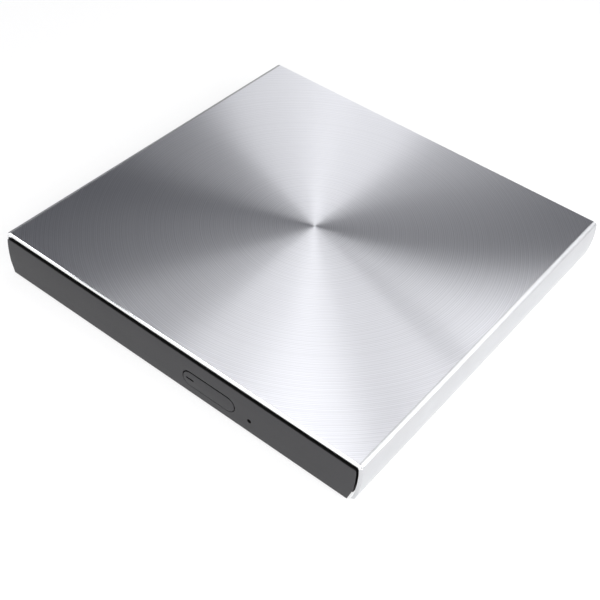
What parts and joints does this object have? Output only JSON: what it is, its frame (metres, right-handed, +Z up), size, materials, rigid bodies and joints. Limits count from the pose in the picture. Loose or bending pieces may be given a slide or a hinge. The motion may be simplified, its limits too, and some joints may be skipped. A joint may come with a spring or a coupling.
{
  "type": "external optical drive",
  "caption": "Slim portable disc drive: brushed aluminium cover with bulged sides, dark bezel with an oval eject button, sliding disc tray on telescopic rails, spindle, pickup and USB socket.",
  "frame": {"origin": "centre of the drive's footprint on the surface it stands on", "axes": "+X to the right seen from the front, +Y to the rear, +Z up; the tray opens towards -Y"},
  "size_m": [0.1426, 0.1396, 0.0164],
  "materials": {
    "aluminium": "fine circular brushing on top, satin sides, polished front lip",
    "bezel_plastic": "matte dark grey moulding",
    "base_plastic": "fine-textured near-black moulding",
    "tray_plastic": "fine-textured black moulding",
    "small_plastic": "smooth black moulding",
    "rubber": "soft matte rubber",
    "sheet_steel": "zinc-plated sheet",
    "bright_steel": "bright turned steel",
    "motor_metal": "cast and plated motor metal",
    "coil": "lacquered winding",
    "circuit_board": "green solder mask",
    "ribbon": "flat cable with a white film",
    "light_pipe": "smoked clear plastic",
    "led": "clear epoxy",
    "lens_glass": "coated moulded lens"
  },
  "bodies": {
    "case": {"top_shell": "aluminium", "bottom_shell": "base_plastic", "rear_cap": "base_plastic", "foot_front_left": "rubber", "foot_front_right": "rubber", "foot_rear_left": "rubber", "foot_rear_right": "rubber", "case_screw_front_left": "bright_steel", "case_screw_front_right": "bright_steel", "case_screw_rear_left": "bright_steel", "case_screw_rear_right": "bright_steel", "drive_chassis": "sheet_steel", "drive_cover": "sheet_steel", "left_guide": "small_plastic", "right_guide": "small_plastic", "ribbon_lower": "ribbon", "latch_pin": "bright_steel", "eject_spring": "bright_steel", "bridge_board": "circuit_board", "drive_connector": "small_plastic", "usb_socket": "bright_steel", "usb_tongue": "small_plastic"},
    "left_rail": {"left_rail": "sheet_steel"},
    "right_rail": {"right_rail": "sheet_steel"},
    "tray": {"tray": "tray_plastic", "front_bezel": "bezel_plastic", "indicator_lens": "light_pipe", "indicator_led": "led", "eject_switch": "small_plastic", "button_board": "circuit_board", "main_board": "circuit_board", "controller_chip": "small_plastic", "ribbon_upper": "ribbon", "traverse_plate": "sheet_steel", "traverse_cover": "sheet_steel", "damper_1": "rubber", "damper_2": "rubber", "damper_3": "rubber", "damper_screw_1": "bright_steel", "damper_screw_2": "bright_steel", "damper_screw_3": "bright_steel", "spindle_stator": "motor_metal", "main_guide_rod": "bright_steel", "sub_guide_rod": "bright_steel", "stepper_motor": "motor_metal", "latch_solenoid": "coil"},
    "ribbon_bend": {"ribbon_bend": "ribbon"},
    "button": {"eject_button": "bezel_plastic"},
    "spindle": {"spindle_rotor": "bright_steel", "disc_grip_ring": "rubber"},
    "claw_1": {"clamp_claw_1": "small_plastic"},
    "claw_2": {"clamp_claw_2": "small_plastic"},
    "claw_3": {"clamp_claw_3": "small_plastic"},
    "pickup": {"pickup_sled": "motor_metal", "screw_follower": "small_plastic"},
    "lens": {"lens_holder": "small_plastic", "objective_lens": "lens_glass"},
    "lead_screw": {"lead_screw": "bright_steel"},
    "latch": {"latch_lever": "small_plastic"},
    "plunger": {"solenoid_plunger": "bright_steel"}
  },
  "joints": [
    {"name": "tray_slide", "type": "slide", "parent": "case", "child": "tray", "axis": [0, -1, 0], "range_m": [0, 0.128]},
    {"name": "left_rail_slide", "type": "slide", "parent": "case", "child": "left_rail", "axis": [0, -1, 0], "range_m": [0, 0.0645]},
    {"name": "right_rail_slide", "type": "slide", "parent": "case", "child": "right_rail", "axis": [0, -1, 0], "range_m": [0, 0.0645]},
    {"name": "ribbon_roll", "type": "slide", "parent": "case", "child": "ribbon_bend", "axis": [0, -1, 0], "range_m": [0, 0.0645]},
    {"name": "eject_button_press", "type": "slide", "parent": "tray", "child": "button", "axis": [0, 1, 0], "range_m": [0, 0.0005], "stiffness_N_per_m": 1500},
    {"name": "spindle_spin", "type": "hinge", "parent": "tray", "child": "spindle", "pos_m": [0, -0.003, 0.0095], "axis": [0, 0, 1], "continuous": true},
    {"name": "claw_1_press", "type": "slide", "parent": "spindle", "child": "claw_1", "axis": [0.7071, 0.7071, 0], "range_m": [0, 0.0006], "stiffness_N_per_m": 300},
    {"name": "claw_2_press", "type": "slide", "parent": "spindle", "child": "claw_2", "axis": [-0.9659, 0.2588, 0], "range_m": [-0.0001, 0.0007], "stiffness_N_per_m": 300},
    {"name": "claw_3_press", "type": "slide", "parent": "spindle", "child": "claw_3", "axis": [0.2588, -0.9659, 0], "range_m": [-0.0001, 0.0007], "stiffness_N_per_m": 300},
    {"name": "pickup_travel", "type": "slide", "parent": "tray", "child": "pickup", "axis": [-0.7071, -0.7071, 0], "range_m": [0, 0.033]},
    {"name": "lead_screw_spin", "type": "hinge", "parent": "tray", "child": "lead_screw", "pos_m": [-0.03532, -0.01499, 0.0072], "axis": [-0.7071, -0.7071, 0], "range_deg": [-20, 3980]},
    {"name": "lens_focus", "type": "slide", "parent": "pickup", "child": "lens", "axis": [0, 0, 1], "range_m": [-0.0004, 0.0004], "stiffness_N_per_m": 60},
    {"name": "latch_swing", "type": "hinge", "parent": "tray", "child": "latch", "pos_m": [-0.033, 0.033, 0.0051], "axis": [0, 0, -1], "range_deg": [-0.5, 14.5]},
    {"name": "plunger_slide", "type": "slide", "parent": "tray", "child": "plunger", "axis": [1, 0, 0], "range_m": [0, 0.0012]}
  ],
  "couplings": [
    {"joint": "left_rail_slide", "follows": "tray_slide", "ratio": 0.5},
    {"joint": "right_rail_slide", "follows": "tray_slide", "ratio": 0.5},
    {"joint": "ribbon_roll", "follows": "tray_slide", "ratio": 0.5},
    {"joint": "claw_2_press", "follows": "claw_1_press", "ratio": 1},
    {"joint": "claw_3_press", "follows": "claw_1_press", "ratio": 1},
    {"joint": "lead_screw_spin", "follows": "pickup_travel", "rad_per_m": 2094.4},
    {"joint": "latch_swing", "follows": "plunger_slide", "rad_per_m": 203}
  ]
}
